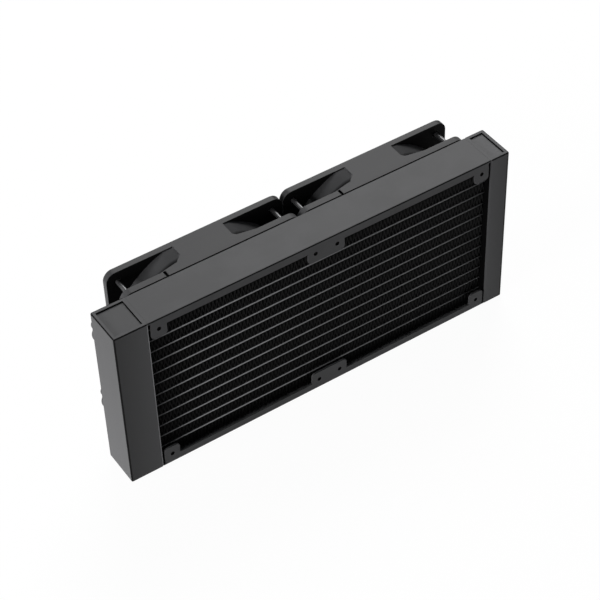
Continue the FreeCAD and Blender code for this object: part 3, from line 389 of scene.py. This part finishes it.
def fan_frame(side):
    """Moulded frame; what lies between its two flanges gets painted shade, the duct there a tone painted
    from shade to light, and the outer sides a painted shade band by the far rim.
    """
    node = f"{side}_fan_frame"
    shape = cad_shape(node, whole_faces=False)
    low, high, middle = span(node)
    near_flange = low.y + 4.0 * MM
    far_flange = high.y - 3.0 * MM
    side_start = (high.z - low.z) / 2 - 0.2 * MM
    fill_duct(shape, low, high, middle)

    def on_near_face(edge):
        return all(vertex.co.y < low.y + 0.01 * MM for vertex in edge.verts)

    def behind_near_face(edge):
        depths = [vertex.co.y - low.y for vertex in edge.verts]
        on_duct = min(depths) > 7.5 * MM and max(depths) < 19.7 * MM
        return max(depths) > 1.0 * MM and not on_duct

    break_edges(shape, 0.42 * MM, test=on_near_face)
    break_edges(shape, 0.15 * MM, test=behind_near_face)
    for vertex in shape.verts:
        vertex.co = [min(max(part, start), end) for part, start, end in zip(vertex.co, low, high)]

    def between_flanges(face):
        place = face.calc_center_median()
        inside = max(abs(place.x - middle.x), abs(place.z - middle.z)) < side_start
        return inside and near_flange < place.y < far_flange

    def outer_side(face):
        place = face.calc_center_median() - middle
        return abs(face.normal.y) < 0.3 and max(abs(place.x), abs(place.z)) > side_start

    def near_rim(face):
        return leaning(face) and face.normal.y < -0.3 and face.calc_center_median().y < low.y + 0.5 * MM

    inside_shade_slot, duct_shade_slot, side_shade_slot = range(1, 4)
    # Painted shade between the flanges.
    shade(shape, inside_shade_slot, between_flanges)
    # Painted shade and light on the duct's outside.
    shade(shape, duct_shade_slot, lambda face: between_flanges(face) and abs(face.normal.y) < 0.9)
    # Painted shade on the near rim's bevel, the seam against the radiator.
    shade(shape, inside_shade_slot, near_rim)
    # Painted shade on the outer sides.
    shade(shape, side_shade_slot, lambda face: outer_side(face) and face.material_index == 0)
    piece = finished(shape, f"{node}_finish", "radiator", frame_plastic, node,
                     (frame_inside_painted_shade, duct_painted_shade_and_light, frame_side_painted_shade))
    return even_normals(piece)


def paint(nodes, material):
    """Gives solids that are shown as they are their material."""
    for name in nodes:
        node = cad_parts[name]
        node.data.materials.clear()
        node.data.materials.append(material)


def row(shape, geometry, step, count):
    """Repeats geometry along a line."""
    bmesh.ops.spin(shape, geom=geometry, cent=(0, 0, 0), axis=(0, 1, 0), dvec=step, angle=0.0,
                   steps=count - 1, use_duplicate=True)
    bmesh.ops.remove_doubles(shape, verts=shape.verts, dist=0.002 * MM)


# Radiator

def fin_strip(index):
    """Folded fin sheet between two tubes."""
    node = f"fin_strip_{index:02d}"
    low, high, _ = span(node)
    bottom = low.z + SHEET / 2
    top = high.z - SHEET / 2
    inset = 0.15 * MM
    front = low.y + inset
    back = high.y - inset
    period = (high.x - low.x) / FOLD_COUNT
    shape = bmesh.new()
    corners = [shape.verts.new((low.x + share * period, front, z))
               for share, z in ((0.0, bottom), (0.5, top), (1.0, bottom))]
    folds = [shape.edges.new(pair) for pair in zip(corners, corners[1:])]
    row(shape, corners + folds, (period, 0, 0), FOLD_COUNT)
    wire = list(shape.edges)
    drawn = bmesh.ops.extrude_edge_only(shape, edges=wire)["geom"]
    moved = [item for item in drawn if isinstance(item, bmesh.types.BMVert)]
    bmesh.ops.translate(shape, vec=(0, back - front, 0), verts=moved)
    creases = [edge for edge in shape.edges if edge.is_manifold]
    bmesh.ops.bevel(shape, geom=creases, offset=0.28 * MM, offset_type="OFFSET", segments=2, profile=0.5,
                    affect="EDGES", clamp_overlap=True, material=-1)
    # Fins take the painted shade coat.
    piece = finished(shape, f"{node}_folds", "radiator", fin_painted_shade, node, smooth_angle=60.0)
    solid = piece.modifiers.new("sheet", "SOLIDIFY")
    solid.thickness = SHEET
    solid.offset = 0.0
    return piece


def coolant_tube(index):
    """Flat tube with round noses."""
    node = f"coolant_tube_{index:02d}"
    low, high, middle = span(node)
    radius = (high.z - low.z) / 2
    shape = bmesh.new()
    turn = Matrix.Rotation(math.pi / 2, 4, "Y")
    bmesh.ops.create_circle(shape, segments=24, radius=radius,
                            matrix=Matrix.Translation((low.x, middle.y, middle.z)) @ turn)
    stretch = (high.y - low.y) / 2 - radius
    for vertex in shape.verts:
        vertex.co.y += math.copysign(stretch, vertex.co.y - middle.y + 0.001 * radius)
    drawn = bmesh.ops.extrude_edge_only(shape, edges=list(shape.edges))["geom"]
    bmesh.ops.translate(shape, vec=(high.x - low.x, 0, 0),
                        verts=[item for item in drawn if isinstance(item, bmesh.types.BMVert)])
    bmesh.ops.recalc_face_normals(shape, faces=shape.faces)
    shade_slot = 1
    # Painted shade on the tube's downward and steep faces; the rest keeps the painted light tone.
    shade(shape, shade_slot, lambda face: not -0.1 < face.normal.z < 0.7)
    piece = finished(shape, f"{node}_drawn", "radiator", tube_painted_light, node, (tube_shade,))
    wall = piece.modifiers.new("wall", "SOLIDIFY")
    wall.thickness = TUBE_WALL
    wall.offset = -1.0
    return piece


for tube in range(1, TUBE_COUNT + 1):
    coolant_tube(tube)
for strip in range(1, TUBE_COUNT + 2):
    fin_strip(strip)
for side in SIDES:
    end_tank(side)
    for end in ("top", "bottom"):
        # Each cap takes the painted shade (left) or painted light (right) copy of the cap coat.
        dress(f"{side}_tank_{end}_cap", "radiator", cap_painted_light_and_shade[side], FINE_BEVEL)
for name in ("top_side_plate", "bottom_side_plate"):
    side_plate(name)
paint(["left_tank_divider"], powder_coat)
for name in ("inlet_fitting", "outlet_fitting"):
    dress(name, "radiator", powder_coat, 0.2 * MM)
dress("fan_screws", "radiator", screw_black, 0.25 * MM)


# Fans

for side in SIDES:
    fan_frame(side)
    dress(f"{side}_fan_impeller", f"{side}_rotor", rotor_plastic, 0.1 * MM)
    paint([f"{side}_rotor_yoke", f"{side}_fan_shaft", f"{side}_shaft_clip"], plain_steel)
    paint([f"{side}_stator_core"], plain_steel)
    paint([f"{side}_magnet_ring"], ferrite)
    paint([f"{side}_fan_bearing"], bronze)
    paint([f"{side}_stator_windings"], copper)
    paint([f"{side}_motor_board"], board_green)


# Surroundings

def white_for_sight(nodes, links, lit, white):
    """Mixes a shader with plain white, which only the camera, reflections and clear things see."""
    path = nodes.new("ShaderNodeLightPath")
    seen = path.outputs["Is Camera Ray"]
    for ray in ("Is Glossy Ray", "Is Transmission Ray"):
        either = nodes.new("ShaderNodeMath")
        either.operation = "MAXIMUM"
        links.new(seen, either.inputs[0])
        links.new(path.outputs[ray], either.inputs[1])
        seen = either.outputs["Value"]
    mix = nodes.new("ShaderNodeMixShader")
    links.new(seen, mix.inputs["Fac"])
    links.new(lit, mix.inputs[1])
    links.new(white, mix.inputs[2])
    return mix.outputs["Shader"]


def studio_world():
    """Faint even light, with white behind the object."""
    world = bpy.data.worlds.new("studio")
    bpy.context.scene.world = world
    world.use_nodes = True
    nodes, links = world.node_tree.nodes, world.node_tree.links
    ambient = nodes["Background"]
    ambient.inputs["Color"].default_value = (0.9, 0.95, 1.0, 1.0)
    ambient.inputs["Strength"].default_value = 0.08
    white = nodes.new("ShaderNodeBackground")
    white.inputs["Color"].default_value = (1.0, 1.0, 1.0, 1.0)
    white.inputs["Strength"].default_value = 1.0
    surface = white_for_sight(nodes, links, ambient.outputs["Background"], white.outputs["Background"])
    links.new(surface, nodes["World Output"].inputs["Surface"])


def studio_floor():
    """Plain pale floor that keeps a soft shadow."""
    shape = bmesh.new()
    bmesh.ops.create_grid(shape, x_segments=1, y_segments=1, size=4.0)
    mesh = bpy.data.meshes.new("floor")
    shape.to_mesh(mesh)
    shape.free()
    floor = bpy.data.objects.new("floor", mesh)
    bpy.context.scene.collection.objects.link(floor)
    material, nodes, links, shader = node_material("floor_white", (0.25, 0.25, 0.25), 0.9, specular=0.1)
    glow = nodes.new("ShaderNodeEmission")
    glow.inputs["Strength"].default_value = 1.2
    blend = nodes.new("ShaderNodeMixShader")
    blend.inputs["Fac"].default_value = 0.8
    links.new(shader.outputs["BSDF"], blend.inputs[1])
    links.new(glow.outputs["Emission"], blend.inputs[2])
    surface = white_for_sight(nodes, links, shader.outputs["BSDF"], blend.outputs["Shader"])
    links.new(surface, nodes["Material Output"].inputs["Surface"])
    mesh.materials.append(material)


def soft_light(name, place, size, power):
    """Square area lamp that faces the object's middle."""
    target = (0, 0, 0.06)
    lamp = bpy.data.lights.new(name, "AREA")
    lamp.shape = "SQUARE"
    lamp.size = size
    lamp.energy = power
    holder = bpy.data.objects.new(name, lamp)
    bpy.context.scene.collection.objects.link(holder)
    holder.location = place
    holder.rotation_mode = "QUATERNION"
    holder.rotation_quaternion = (Vector(target) - Vector(place)).to_track_quat("-Z", "Y")


def photo_camera():
    """Camera of the photo: from the front left and above, with a long lens."""
    image_width = 600.0
    lens_in_pixels = 1964.8
    data = bpy.data.cameras.new("photo_camera")
    data.sensor_width = 36.0
    data.lens = data.sensor_width * lens_in_pixels / image_width
    data.clip_start, data.clip_end = 0.01, 20.0
    camera = bpy.data.objects.new("photo_camera", data)
    bpy.context.scene.collection.objects.link(camera)
    across = Vector((0.831333, -0.555126, -0.026838))
    up = Vector((0.405077, 0.572150, 0.713132))
    ahead = Vector((0.380523, 0.603722, -0.700516))
    camera.matrix_world = Matrix((across, up, -ahead)).transposed().to_4x4()
    camera.location = Vector((-451.953, -719.490, 885.409)) * MM
    bpy.context.scene.camera = camera


photo_camera()
studio_world()
studio_floor()
soft_light("left_lamp", (-2.2, -0.1, 0.35), 1.2, 75.0)
soft_light("back_lamp", (1.1, 1.5, 1.9), 1.3, 46.0)
soft_light("front_lamp", (0.5, -1.9, 0.12), 0.9, 4.5)
bpy.context.scene.view_settings.view_transform = "Standard"
